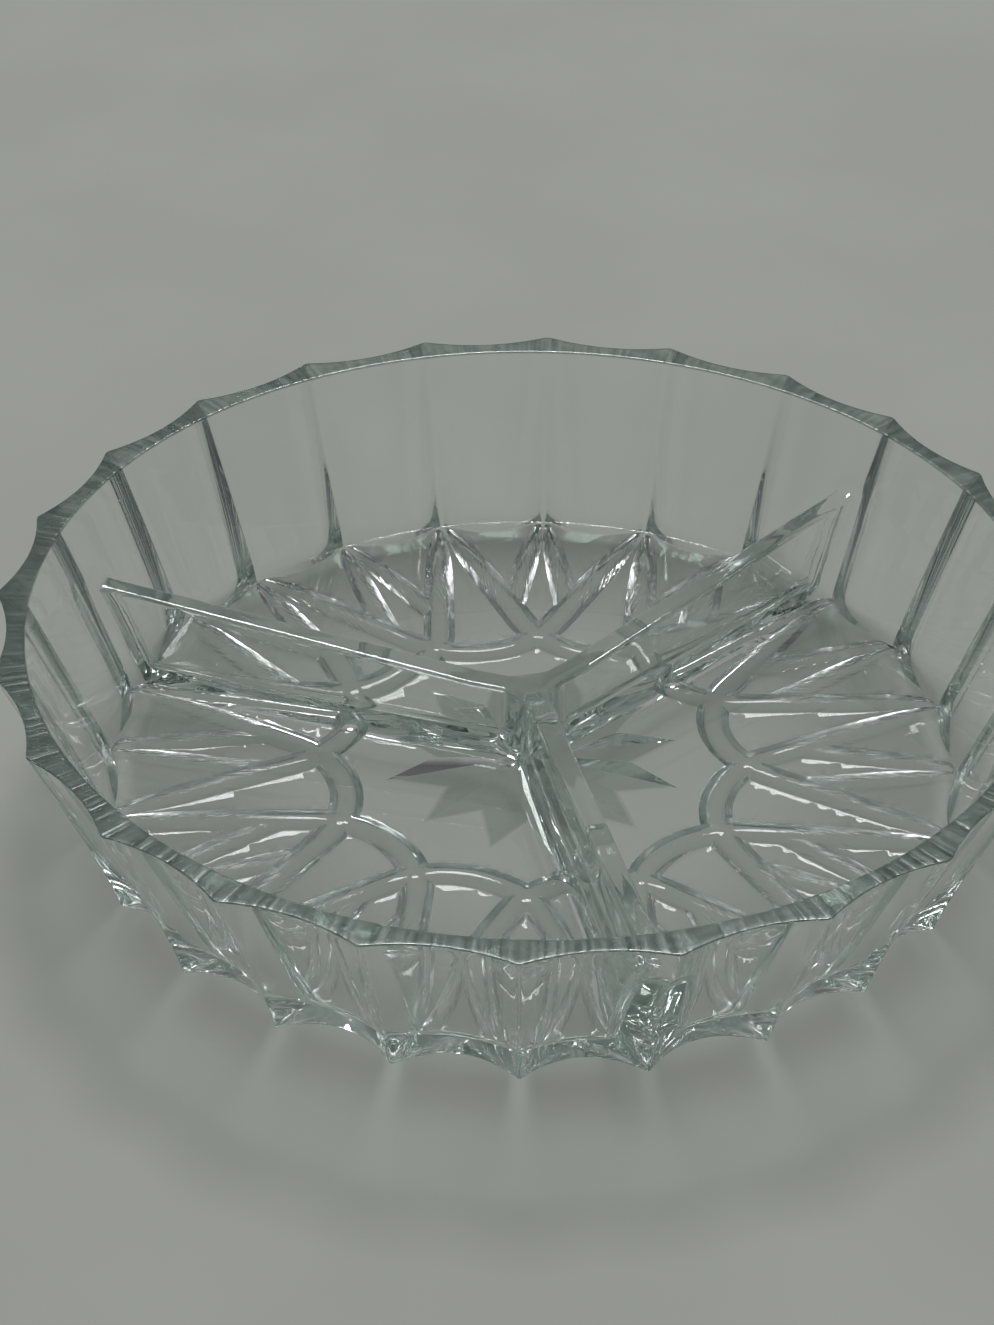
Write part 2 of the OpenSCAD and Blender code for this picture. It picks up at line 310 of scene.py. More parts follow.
def filleted(a, b, radius):
    """Distance from two bodies that a fillet joins."""
    corner = np.hypot(np.maximum(radius - a, 0), np.maximum(radius - b, 0))
    return np.maximum(radius, np.minimum(a, b)) - corner


def rounded_meet(a, b, radius):
    """Distance from what two bodies have in common, with its edge rounded off."""
    return -filleted(-a, -b, radius)


def polar(radius, bearing):
    """A plan point at a distance and a bearing from the centre."""
    return np.array([radius * math.cos(bearing), radius * math.sin(bearing)])


def round_plan(radius, bearings):
    """Plan points round the centre."""
    return np.column_stack([radius * np.cos(bearings), radius * np.sin(bearings)])


def turned(x, y, turn):
    """Plan coordinates seen from axes that are turned about the centre."""
    return x * math.cos(turn) + y * math.sin(turn), y * math.cos(turn) - x * math.sin(turn)


def turned_plan(points, turn):
    """Plan points seen from axes that are turned about the centre."""
    return np.column_stack(turned(points[:, 0], points[:, 1], turn))


def square_grid(radius, step):
    """Plan points of a square grid that covers a circle."""
    reach = math.ceil(radius / step)
    places = np.arange(-reach, reach + 1) * step
    return np.column_stack([grid.ravel() for grid in np.meshgrid(places, places)])


def groove_section(aside, width, depth, squareness):
    """Depth of a groove at a distance from its middle, below nought outside it."""
    return depth * (1 - np.minimum(aside / (width / 2), GROOVE_CAP) ** squareness)


class DishShape:
    """The faces of the dish as functions of place."""

    divider_turns = [math.radians(turn) for turn in (-90, 30, 150)]
    half_sector = math.pi / len(divider_turns)

    def __init__(self, sizes):
        self.sizes = sizes
        self.rim_radius = sizes.rim_diameter / 2
        self.foot_radius = sizes.foot_diameter / 2
        self.mouth_radius = self.rim_radius - sizes.rim_width
        self.floor_radius = self.foot_radius - sizes.heel_inset
        self.wall_run = (self.mouth_radius - self.floor_radius) / (sizes.height - sizes.floor_thickness)
        crest_rise = sizes.crest_height_wall - sizes.crest_height_hub
        self.crest_climb = crest_rise / (self.floor_radius - sizes.hub_reach)
        self.pitch = math.tau / sizes.flute_count
        self.arch_step = 2 * self.pitch
        self.arch_count = sizes.flute_count // 2
        self.place_grooves()

    def wall_radius(self, z):
        """Radius of the plain inner wall at a height."""
        return self.floor_radius + (z - self.sizes.floor_thickness) * self.wall_run

    def crest_height(self, radius):
        """Height of a divider's crest at a distance from the centre."""
        return self.sizes.crest_height_hub + np.maximum(radius - self.sizes.hub_reach, 0) * self.crest_climb

    def half_width(self, z):
        """Half of a divider's width at a height."""
        below_top = self.sizes.crest_height_wall - z
        return self.sizes.crest_width / 2 + below_top * math.tan(self.sizes.divider_draft)

    def air_distance(self, x, y, z):
        """How far a point in the hollow lies from the glass, below nought inside the glass."""
        sizes = self.sizes
        radius = np.hypot(x, y)
        above_floor = z - sizes.floor_thickness
        off_wall = (self.wall_radius(z) - radius) * math.cos(math.atan(self.wall_run))
        off_shell = filleted(above_floor, off_wall, sizes.heel_fillet)
        above_crest = z - self.crest_height(radius)
        off_sides = None
        for turn in self.divider_turns:
            along, across = turned(x, y, turn)
            aside = np.where(along > 0, np.abs(across), radius)
            off_side = (aside - self.half_width(z)) * math.cos(sizes.divider_draft)
            off_sides = off_side if off_sides is None else filleted(off_sides, off_side, sizes.hub_fillet)
        off_dividers = rounded_meet(off_sides, above_crest, sizes.crest_round)
        stations = (sizes.floor_thickness, sizes.crest_height_hub, sizes.crest_height_wall)
        fillet = np.interp(z, stations, (sizes.foot_fillet, sizes.wall_fillet, sizes.crest_fillet))
        return filleted(off_shell, off_dividers, fillet)

    def inner_height(self, x, y):
        """Height of the inner face above a place in plan."""
        low = np.full(x.shape, self.sizes.floor_thickness)
        high = np.full(x.shape, self.sizes.height)
        for _ in range(HALVINGS):
            middle = (low + high) / 2
            in_glass = self.air_distance(x, y, middle) < 0
            low = np.where(in_glass, middle, low)
            high = np.where(in_glass, high, middle)
        return high

    def flute_radius(self, turn, share):
        """Radius of a flute's hollow at an angle from its middle and a share of the dish's height."""
        sizes = self.sizes
        half = self.pitch / 2
        rim_valley = self.rim_radius * math.cos(half) - sizes.flute_depth_rim
        foot_valley = self.foot_radius * math.cos(half) - sizes.flute_depth_foot
        rim_curve = (self.rim_radius * math.sin(half)) ** 2 / (2 * sizes.flute_depth_rim)
        foot_curve = (self.foot_radius * math.sin(half)) ** 2 / (2 * sizes.flute_depth_foot)
        valley = foot_valley + (rim_valley - foot_valley) * share
        curve = foot_curve + (rim_curve - foot_curve) * share
        bend = np.sin(turn) ** 2 / (2 * curve)
        return 2 * valley / (np.cos(turn) + np.sqrt(np.cos(turn) ** 2 - 4 * bend * valley))

    def outer_radius(self, bearing, z):
        """Radius of the fluted outer face at a bearing and a height."""
        share = z / self.sizes.height
        turn = np.abs(bearing % self.pitch - self.pitch / 2)
        own = self.flute_radius(turn, share)
        neighbour = self.flute_radius(self.pitch - turn, share)
        return smooth_least(own, neighbour, self.sizes.ridge_softness)

    def inside_foot(self, point):
        """Whether a plan point lies within the edge of the underside."""
        bearing = math.atan2(point[1], point[0])
        return np.hypot(*point) < self.outer_radius(bearing, 0) - self.sizes.foot_softness

    def place_grooves(self):
        """Finds the plan points of an arch on the X axis and of the spearhead next to it."""
        sizes = self.sizes
        end_radius = self.foot_radius - sizes.groove_margin
        tip_turn = math.asin(sizes.tip_gap / 2 / end_radius)
        self.arch_centre = np.array([sizes.arch_crown_radius + sizes.arch_head_radius, 0])
        self.leg_end = polar(end_radius, self.arch_step - tip_turn)
        sight = self.leg_end - self.arch_centre
        lead = math.acos(sizes.arch_head_radius / np.hypot(*sight))
        self.leg_bearing = math.atan2(sight[1], sight[0]) + lead
        self.leg_start = self.arch_centre + polar(sizes.arch_head_radius, self.leg_bearing)
        self.spear_end = polar(end_radius, self.pitch + tip_turn)
        ray = polar(1, self.pitch + sizes.spear_spread)
        start_side = ray[0] * self.leg_start[1] - ray[1] * self.leg_start[0]
        end_side = ray[0] * self.leg_end[1] - ray[1] * self.leg_end[0]
        leg = self.leg_end - self.leg_start
        self.spear_start = self.leg_start + leg * start_side / (start_side - end_side)

    def swell(self, share):
        """Depth of a groove at a share of its length, against its start, if its end stayed open."""
        return 1 + self.sizes.groove_swell * share

    def closing(self, share):
        """How much shallower its closed end makes a groove, against the depth at its start."""
        return share**self.sizes.groove_bluntness * self.swell(1)

    def squareness(self, share):
        """Squareness of a groove's section at a share of its length."""
        sizes = self.sizes
        return sizes.groove_squareness + (sizes.groove_roundness - sizes.groove_squareness) * share

    def half_share(self, share):
        """Half width of a groove at a share of its length, against its start."""
        still_open = np.maximum(1 - self.closing(share) / self.swell(share), 0)
        return still_open ** (1 / self.squareness(share))

    def fading_groove(self, x, y, start, end, width, depth):
        """Depth of a straight groove that closes at its end, below nought outside it."""
        way = end - start
        share = np.clip(((x - start[0]) * way[0] + (y - start[1]) * way[1]) / (way @ way), 0, 1)
        aside = np.hypot(x - start[0] - share * way[0], y - start[1] - share * way[1])
        section = groove_section(aside, width, depth * self.swell(share), self.squareness(share))
        return section - depth * self.closing(share)

    def arch_groove(self, x, y):
        """Depth of the arch on the X axis, below nought outside its groove."""
        sizes = self.sizes
        width, depth = sizes.arch_groove_width, sizes.arch_groove_depth
        y = np.abs(y)
        leg = self.fading_groove(x, y, self.leg_start, self.leg_end, width, depth)
        aside = np.abs(np.hypot(x - self.arch_centre[0], y) - sizes.arch_head_radius)
        head = groove_section(aside, width, depth, sizes.groove_squareness)
        bearing = np.arctan2(y, x - self.arch_centre[0])
        return np.where(bearing > self.leg_bearing, head, leg)

    def spear_groove(self, x, y):
        """Depth of one groove of the spearhead next to the arch on the X axis."""
        width, depth = self.sizes.spear_groove_width, self.sizes.spear_groove_depth
        return self.fading_groove(x, y, self.spear_start, self.spear_end, width, depth)

    def star_recess(self, x, y):
        """Depth of the star's facet between a tip on the X axis and the notch next to it."""
        sizes = self.sizes
        notch = polar(sizes.star_notch_radius, self.pitch)
        fall = (1 - notch[0] / sizes.star_tip_radius) / notch[1]
        return sizes.star_depth * (1 - x / sizes.star_tip_radius - y * fall)

    def under_height(self, x, y):
        """Height of the underside above the table at a place in plan."""
        step = self.arch_step
        radius = np.hypot(x, y)
        bearing = np.arctan2(y, x)
        off_edge = self.outer_radius(bearing, 0) - self.sizes.foot_softness - radius
        bearing = np.abs((bearing + self.pitch) % step - self.pitch)
        x, y = radius * np.cos(bearing), radius * np.sin(bearing)
        far_x, far_y = radius * np.cos(step - bearing), radius * np.sin(step - bearing)
        depth = np.zeros_like(x)
        grooves = [self.arch_groove(*turned(x, y, turn)) for turn in (-step, 0, step)]
        grooves += [self.spear_groove(x, y), self.spear_groove(far_x, far_y)]
        for groove in grooves:
            depth = smooth_most(depth, groove, self.sizes.groove_softness)
        depth = depth * np.clip(off_edge / self.sizes.groove_softness, 0, 1)
        return np.maximum(depth, self.star_recess(x, y))

    def is_star_crease(self, edge):
        """Whether an edge of the mesh lies between two facets of the star, or round it."""
        middle = (edge.verts[0].co + edge.verts[1].co) / 2
        in_star = middle.xy.length < STAR_REACH * self.sizes.star_tip_radius
        underneath = middle.z < UNDER_SHARE * self.sizes.floor_thickness
        return in_star and underneath and edge.calc_face_angle() > CREASE_ANGLE


class Plan:
    """Points and lines of one face in plan, joined up into triangles that keep the lines."""

    def __init__(self):
        self.points = []
        self.lines = []

    def add_points(self, points):
        """Adds loose points."""
        self.points.extend(map(tuple, points))

    def add_line(self, points, closed=False):
        """Adds a line whose pieces become edges of the mesh."""
        first = len(self.points)
        self.add_points(points)
        last = len(self.points) - 1
        self.lines.extend((i, i + 1) for i in range(first, last))
        if closed:
            self.lines.append((last, first))

    def triangles(self):
        """Points and triangles of the finished plan."""
        points = [Vector(point) for point in self.points]
        joined, _, faces, *_ = delaunay_2d_cdt(points, self.lines, [], 0, PLAN_TOLERANCE)
        return np.array([tuple(point) for point in joined]), [tuple(face) for face in faces]


class GlassMesh:
    """Collects the faces of the dish."""

    def __init__(self):
        self.points = []
        self.faces = []

    def add_face(self, plan, heights, upward, keep=None):
        """Adds the triangles of a plan that are to be kept, looking up or down."""
        points, triangles = plan
        first = len(self.points)
        self.points.extend(np.column_stack([points, heights]))
        for triangle in triangles:
            if keep is None or keep(points[list(triangle)].mean(axis=0)):
                corners = triangle if upward else triangle[::-1]
                self.faces.append([first + corner for corner in corners])

    def add_rings(self, bearings, rings):
        """Adds the quads between rings that share their bearings."""
        first = len(self.points)
        count = len(bearings)
        for radius, z in rings:
            self.points.extend(np.column_stack([round_plan(radius, bearings), z]))
        for row in range(len(rings) - 1):
            low = first + row * count
            for i in range(count):
                j = (i + 1) % count
                self.faces.append([low + i, low + j, low + count + j, low + count + i])

    def build(self, name, sharp):
        """Welds the faces into one closed mesh object."""
        mesh = bpy.data.meshes.new(name)
        mesh.from_pydata([tuple(point) for point in self.points], [], self.faces)
        welded = bmesh.new()
        welded.from_mesh(mesh)
        bmesh.ops.remove_doubles(welded, verts=welded.verts, dist=WELD_DISTANCE)
        loose = [vert for vert in welded.verts if not vert.link_faces]
        bmesh.ops.delete(welded, geom=loose, context="VERTS")
        bmesh.ops.recalc_face_normals(welded, faces=welded.faces)
        open_edges = sum(not edge.is_manifold for edge in welded.edges)
        if open_edges:
            raise RuntimeError(f"{name} has {open_edges} open edges")
        for face in welded.faces:
            face.smooth = True
        for edge in welded.edges:
            edge.smooth = not sharp(edge)
        welded.to_mesh(mesh)
        welded.free()
        piece = bpy.data.objects.new(name, mesh)
        bpy.context.scene.collection.objects.link(piece)
        return piece


def ring_bearings(shape):
    """Bearings round the wall, closer together at the ridges."""
    steps = np.arange(FLUTE_STEPS) / FLUTE_STEPS * 2 - 1
    crowded = RIDGE_CROWDING * np.sin(steps * math.pi / 2) + (1 - RIDGE_CROWDING) * steps
    one_flute = (crowded + 1) * shape.pitch / 2
    return np.concatenate([one_flute + i * shape.pitch for i in range(shape.sizes.flute_count)])


def rounded_rings(start, corner, end):
    """Rings round an edge, from start to end, drawn towards its corner."""
    rings = []
    for share in np.linspace(0, 1, EDGE_STEPS):
        weights = ((1 - share) ** 2, 2 * share * (1 - share), share**2)
        rings.append(tuple(
            sum(weight * part for weight, part in zip(weights, parts))
            for parts in zip(start, corner, end)
        ))
    return rings


def wall_rings(shape, bearings):
    """Rings from the edge of the underside up the wall and over the rim to the inner face."""
    sizes = shape.sizes
    level = np.ones_like(bearings)
    top = sizes.height * level
    soft = sizes.rim_softness
    foot = shape.outer_radius(bearings, 0)
    rim = shape.outer_radius(bearings, sizes.height)
    rim_low = sizes.height - soft
    heights = np.linspace(sizes.foot_softness, rim_low, WALL_STEPS)
    wall = [(shape.outer_radius(bearings, z), z * level) for z in heights]
    foot_edge = rounded_rings((foot - sizes.foot_softness, 0 * level), (foot, 0 * level), wall[0])
    rim_edge = rounded_rings(wall[-1], (rim, top), (rim - soft, top))
    mouth_edge = rounded_rings(
        ((shape.mouth_radius + soft) * level, top),
        (shape.mouth_radius * level, top),
        (shape.wall_radius(rim_low) * level, rim_low * level),
    )
    outside, inside = rim_edge[-1][0], mouth_edge[0][0]
    shares = np.linspace(0, 1, RIM_STEPS + 2)[1:-1]
    flat = [(outside + (inside - outside) * share, top) for share in shares]
    return foot_edge[:-1] + wall + rim_edge[1:] + flat + mouth_edge


def compartment_contour(shape, level, limit):
    """Lines at one share of the crest's height round a compartment on the X axis."""
    sizes = shape.sizes
    half = shape.half_sector
    middle = CONTOUR_MIDDLE * shape.floor_radius
    rays = np.linspace(0, math.tau, CONTOUR_RAYS, endpoint=False)
    run_x, run_y = np.cos(rays), np.sin(rays)
    reach = np.sqrt(limit**2 - (middle * run_y) ** 2) - middle * run_x
    for hand in (-1, 1):
        approach = -run_x * math.sin(half) - hand * run_y * math.cos(half)
        meets = approach > 0
        to_divider = middle * math.sin(half) / np.where(meets, approach, 1)
        reach = np.where(meets, np.minimum(reach, to_divider), reach)

    def in_glass(run):
        x, y = middle + run * run_x, run * run_y
        rise = shape.crest_height(np.hypot(x, y)) - sizes.floor_thickness
        z = sizes.floor_thickness + level * rise
        return shape.air_distance(*turned(x, y, -(shape.divider_turns[0] + half)), z) < 0

    found = in_glass(reach)
    near, far = np.zeros_like(reach), reach.copy()
    for _ in range(HALVINGS):
        run = (near + far) / 2
        inside = in_glass(run)
        far = np.where(inside, run, far)
        near = np.where(inside, near, run)
    points = np.column_stack([middle + far * run_x, far * run_y])
    if found.all():
        return [np.vstack([points, points[:1]])]
    pieces = []
    for start in np.flatnonzero(found & ~np.roll(found, 1)):
        order = np.arange(start, start + CONTOUR_RAYS) % CONTOUR_RAYS
        count = int(np.argmin(found[order]))
        pieces.append(points[order[:count]])
    return pieces


def inner_plan(shape, edge):
    """Plan of the inner face: contours of the compartments, lines along the crests, rings up the wall."""
    sizes = shape.sizes
    plan = Plan()
    plan.add_line(edge, closed=True)
    limit = np.hypot(*edge[0]) - EDGE_MARGIN
    for level in CONTOUR_LEVELS:
        for contour in compartment_contour(shape, level, limit):
            for turn in shape.divider_turns:
                plan.add_line(turned_plan(contour, -(turn + shape.half_sector)))
    along = np.arange(CREST_STEP, limit, CREST_STEP)
    half_widths = shape.half_width(shape.crest_height(along)) - sizes.crest_round
    for turn in shape.divider_turns:
        for share in CREST_SHARES:
            plan.add_line(turned_plan(np.column_stack([along, share * half_widths]), -turn))
    plan.add_points([(0, 0)])
    bearings = np.arctan2(edge[:, 1], edge[:, 0])
    lowest = sizes.crest_height_wall + sizes.wall_fillet
    highest = sizes.height - sizes.rim_softness - WALL_RING_STEP / 2
    for z in np.arange(lowest, highest, WALL_RING_STEP):
        plan.add_line(round_plan(shape.wall_radius(z), bearings), closed=True)
    grid = square_grid(shape.floor_radius, FLOOR_STEP)
    clear = shape.air_distance(*grid.T, sizes.floor_thickness + FLOOR_CLEAR)
    plan.add_points(grid[clear > NEARLY_ALL * FLOOR_CLEAR])
    return plan.triangles()


def groove_spreads(half_width):
    """Distances from the middle of a groove at which its mesh has lines, to either hand."""
    inside = [share * half_width for share in GROOVE_SHARES]
    beside = [half_width + gap for gap in GROOVE_GAPS]
    for spread in inside + beside:
        yield spread
        yield -spread


def head_lines(shape):
    """Lines along the groove of the round head of the arch on the X axis."""
    bearings = np.linspace(shape.leg_bearing, math.tau - shape.leg_bearing, HEAD_STEPS + 1)
    for spread in (0, *groove_spreads(shape.sizes.arch_groove_width / 2)):
        yield shape.arch_centre + round_plan(shape.sizes.arch_head_radius + spread, bearings)


def straight_lines(shape, start, end, width):
    """Lines along a straight groove that closes at its end."""
    way = end - start
    run = np.hypot(*way)
    across = np.array([-way[1], way[0]]) / run
    count = max(2, round(run / GROOVE_STEP))
    share = np.sin(np.linspace(0, math.pi / 2, count + 1))
    middle = start + share[:, None] * way
    yield middle
    half_width = width / 2 * shape.half_share(share)
    wide = half_width > LEAST_HALF_WIDTH
    for spread in groove_spreads(half_width[wide]):
        yield middle[wide] + spread[:, None] * across


def under_plan(shape, edge):
    """Plan of the underside: lines along every groove and round the facets of the star."""
    sizes = shape.sizes
    turns = [i * shape.arch_step for i in range(shape.arch_count)]
    plan = Plan()
    plan.add_line(edge, closed=True)
    for line in head_lines(shape):
        for turn in turns:
            plan.add_line(turned_plan(line, -turn))
    straight = (
        (shape.leg_start, shape.leg_end, sizes.arch_groove_width),
        (shape.spear_start, shape.spear_end, sizes.spear_groove_width),
    )
    for groove in straight:
        for line in straight_lines(shape, *groove):
            for turn in turns:
                for hand in (1, -1):
                    plan.add_line(turned_plan(line * (1, hand), -turn))
    tips = [polar(sizes.star_tip_radius, turn) for turn in turns]
    notches = [polar(sizes.star_notch_radius, turn + shape.pitch) for turn in turns]
    plan.add_line([point for pair in zip(tips, notches) for point in pair], closed=True)
    for corner in tips + notches:
        plan.add_line([corner * share for share in STAR_SHARES])
    grid = square_grid(shape.foot_radius, UNDER_STEP)
    within = np.hypot(*grid.T) < shape.foot_radius - FLAT_MARGIN * sizes.flute_depth_foot
    plan.add_points(grid[within & (shape.under_height(*grid.T) == 0)])
    return plan.triangles()


class ShaderNodes:
    """Adds nodes to one node tree and joins them up."""

    def __init__(self, tree):
        self.tree = tree
        tree.nodes.clear()

    def add(self, kind, inputs=None, **settings):
        """Adds a node, sets its attributes and feeds its inputs."""
        node = self.tree.nodes.new(kind)
        for name, value in settings.items():
            setattr(node, name, value)
        for name, value in (inputs or {}).items():
            self.feed(node.inputs[name], value)
        return node

    def feed(self, socket, value):
        """Feeds an input with another node's output, or with a plain value."""
        if isinstance(value, bpy.types.NodeSocket):
            self.tree.links.new(value, socket)
        else:
            socket.default_value = value

    def ranged(self, value, low, high, to_low=0, to_high=1):
        """Eases from to_low to to_high while a value goes from low to high."""
        inputs = {"Value": value, "From Min": low, "From Max": high, "To Min": to_low, "To Max": to_high}
        return self.add("ShaderNodeMapRange", inputs, interpolation_type="SMOOTHSTEP").outputs["Result"]

    def calculated(self, operation, first, second=0):
        """Result of a sum on one or two values."""
        return self.add("ShaderNodeMath", {0: first, 1: second}, operation=operation).outputs["Value"]

    def product(self, first, *others):
        """Product of several values."""
        for other in others:
            first = self.calculated("MULTIPLY", first, other)
        return first

    def mixed(self, share, first, second):
        """Goes from a first value or colour to a second one."""
        is_colour = isinstance(second, tuple) or getattr(second, "type", "") == "RGBA"
        node = self.add("ShaderNodeMix", data_type="RGBA" if is_colour else "FLOAT")
        sockets = [socket for socket in node.inputs if socket.enabled]
        for socket, value in zip(sockets, (share, first, second)):
            self.feed(socket, value)
        return next(socket for socket in node.outputs if socket.enabled)

    def speckle(self, place, scale, detail):
        """Cloudy noise fixed to the object."""
        inputs = {"Vector": place, "Scale": scale, "Detail": detail}
        return self.add("ShaderNodeTexNoise", inputs).outputs["Fac"]

    def streaks(self, bearing, scale, detail):
        """Noise that runs outward from the centre as streaks."""
        inputs = {"W": bearing, "Scale": scale, "Detail": detail}
        return self.add("ShaderNodeTexNoise", inputs, noise_dimensions="1D").outputs["Fac"]

    def bumped(self, height, distance, normal=None):
        """Normal of a surface raised by a height."""
        node = self.add("ShaderNodeBump", {"Height": height, "Distance": distance})
        if normal:
            self.feed(node.inputs["Normal"], normal)
        return node.outputs["Normal"]


def solid(shade):
    """A colour with full alpha."""
    return (*shade, 1)


def new_material(name):
    """A new material and its empty node tree."""
    material = bpy.data.materials.new(name)
    material.use_nodes = True
    return material, ShaderNodes(material.node_tree)


class PressedGlass:
    """Clear pressed glass, green where thick, with a ground rim, and painted shade on its pattern and its
    rim.
    """

    def __init__(self, look, sizes):
        self.look = look
        self.material, self.nodes = new_material("pressed_glass")
        self.place = self.nodes.add("ShaderNodeTexCoord").outputs["Object"]
        self.find_bands(sizes)
        self.join()

    def find_bands(self, sizes):
        """Finds where on the dish a point lies: each band is 1 inside and 0 outside."""
        nodes = self.nodes
        x, y, z = nodes.add("ShaderNodeSeparateXYZ", {"Vector": self.place}).outputs
        bearing = nodes.calculated("ARCTAN2", y, x)
        squared = nodes.calculated("ADD", nodes.product(x, x), nodes.product(y, y))
        radius = nodes.calculated("SQRT", squared)
        share = nodes.calculated("DIVIDE", radius, sizes.foot_diameter / 2 - sizes.heel_inset)
        wave = nodes.calculated("COSINE", nodes.product(bearing, sizes.flute_count))
        inside_heel = nodes.ranged(share, *HEEL_BAND, 1, 0)
        by_wall = nodes.ranged(share, *WALL_BAND)
        floor_band = (part * sizes.floor_thickness for part in FLOOR_BAND)
        self.streak = nodes.streaks(bearing, *STREAK_NOISE)
        self.on_rim = nodes.ranged(z, *(sizes.height - drop for drop in RIM_DROPS))
        self.below_floor = nodes.ranged(z, *floor_band, 1, 0)
        # The field, pattern and star bands place painted shade as well as the finish
        self.in_field = nodes.product(self.below_floor, nodes.ranged(share, *FIELD_BAND), inside_heel)
        self.in_pattern = nodes.product(nodes.ranged(z, *TABLE_BAND), self.below_floor, inside_heel)
        self.in_ribs = nodes.product(self.in_pattern, nodes.ranged(share, *RIB_BAND))
        star = sizes.star_tip_radius
        self.in_star = nodes.ranged(radius, star, star + STAR_EDGE, 1, 0)
        self.on_foot = nodes.product(nodes.ranged(z, *FOOT_BAND, 1, 0), by_wall)
        self.on_ridge = nodes.product(nodes.ranged(wave, *RIDGE_BAND), by_wall)

    def colour(self):
        """Clear faces, painted shade on the star, grooves and fields, and the rim's streaked painted shade,
        darkest from inside.
        """
        nodes, look = self.nodes, self.look
        # Painted shade on the fields, the grooves and the star
        land = nodes.mixed(self.in_field, solid(look.clear), solid(look.field_painted_shade))
        pattern_painted_shade = nodes.mixed(self.in_star, solid(look.groove_painted_shade), solid(look.star_painted_shade))
        face = nodes.mixed(self.in_pattern, land, pattern_painted_shade)
        # Painted shade on the rim, mottled in streaks, and darker to light from inside
        mottle = nodes.mixed(look.rim_speckle, self.streak, nodes.speckle(self.place, *RIM_NOISE))
        rim = nodes.mixed(nodes.ranged(mottle, *RIM_RANGE), solid(look.rim_painted_shade_dark), solid(look.rim_painted_shade_pale))
        from_inside = nodes.add("ShaderNodeNewGeometry").outputs["Backfacing"]
        rim = nodes.mixed(from_inside, rim, solid(look.rim_painted_shade_inside))
        return nodes.mixed(self.on_rim, face, rim)

    def roughness(self):
        """Polished faces with a few dull patches, a smooth underside and a satin rim."""
        nodes, look = self.nodes, self.look
        polish = nodes.ranged(nodes.speckle(self.place, *POLISH_NOISE), *POLISH_RANGE, 0, look.dullness)
        polish = nodes.mixed(self.below_floor, polish, 0.0)
        satin = nodes.ranged(self.streak, *SATIN_RANGE, look.rim_gloss, look.rim_satin)
        return nodes.mixed(self.on_rim, polish, satin)

    def normal(self):
        """Slow ripples all over, ribs in the grooves and grinding marks on the rim."""
        nodes, look = self.nodes, self.look
        ripple = nodes.speckle(self.place, look.ripple_scale, RIPPLE_DETAIL)
        rib = nodes.product(nodes.calculated("SUBTRACT", self.streak, NOISE_MIDDLE), self.in_ribs)
        rippled = nodes.bumped(ripple, look.ripple_height)
        ribbed = nodes.bumped(rib, look.rib_height, rippled)
        return nodes.bumped(nodes.product(self.streak, self.on_rim), look.grind_height, ribbed)

    def light_through(self):
        """Share of light that each face passes to the table."""
        nodes, look = self.nodes, self.look
        facing = nodes.add("ShaderNodeLayerWeight").outputs["Facing"]
        passed = nodes.ranged(facing, 0, 1, look.face_shade, look.edge_shade)
        bands = (
            (self.on_foot, look.foot_shade),
            (self.on_ridge, look.ridge_shade),
            (self.on_rim, look.rim_shade),
        )
        for band, share in bands:
            passed = nodes.mixed(band, passed, share)
        return passed

    def join(self):
        """Joins the finish, the light that goes through to the table, and the tint."""
        nodes, look = self.nodes, self.look
        finish = nodes.add("ShaderNodeBsdfPrincipled", {
            "Base Color": self.colour(),
            "Roughness": self.roughness(),
            "Normal": self.normal(),
            "IOR": look.refraction,
            "Transmission Weight": 1,
        })
        through = nodes.add("ShaderNodeBsdfTransparent", {"Color": self.light_through()})
        ray = nodes.add("ShaderNodeLightPath").outputs
        to_table = nodes.calculated("MAXIMUM", ray["Is Shadow Ray"], ray["Is Diffuse Ray"])
        shaders = {0: to_table, 1: finish.outputs["BSDF"], 2: through.outputs["BSDF"]}
        surface = nodes.add("ShaderNodeMixShader", shaders).outputs["Shader"]
        tint = {"Color": solid(look.tint), "Density": look.tint_density}
        body = nodes.add("ShaderNodeVolumeAbsorption", tint).outputs["Volume"]
        nodes.add("ShaderNodeOutputMaterial", {"Surface": surface, "Volume": body})


def floor_paper(look):
    """Matt paper with a faint mottle."""
    material, nodes = new_material("floor_paper")
    place = nodes.add("ShaderNodeTexCoord").outputs["Object"]
    mottle = nodes.ranged(nodes.speckle(place, *PAPER_NOISE), *PAPER_RANGE)
    levels = (1 - look.floor_mottle, 1 + look.floor_mottle)
    dark, pale = (solid(level * part for part in look.floor_colour) for level in levels)
    paper = nodes.add("ShaderNodeBsdfPrincipled", {
        "Base Color": nodes.mixed(mottle, dark, pale),
        "Roughness": look.floor_roughness,
        "Specular IOR Level": look.floor_sheen,
    })
    nodes.add("ShaderNodeOutputMaterial", {"Surface": paper.outputs["BSDF"]})
    return material


class BuildGlassDish(bpy.types.Operator):
    """Build the dish as one closed body of glass"""

    bl_idname = "relish_dish.build_glass_dish"
    bl_label = "Glass dish"

    def execute(self, context):
        """Meshes the faces, welds them and gives them their glass."""
        sizes = context.scene.dish_sizes
        shape = DishShape(sizes)
        bearings = ring_bearings(shape)
        rings = wall_rings(shape, bearings)
        under = under_plan(shape, round_plan(rings[0][0], bearings))
        inner = inner_plan(shape, round_plan(rings[-1][0], bearings))
        glass = GlassMesh()
        glass.add_rings(bearings, rings)
        glass.add_face(under, shape.under_height(*under[0].T), upward=False, keep=shape.inside_foot)
        glass.add_face(inner, shape.inner_height(*inner[0].T), upward=True)
        piece = glass.build("glass_dish", shape.is_star_crease)
        piece.data.materials.append(PressedGlass(context.scene.glass_look, sizes).material)
        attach(piece, "root")
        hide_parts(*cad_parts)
        return {"FINISHED"}


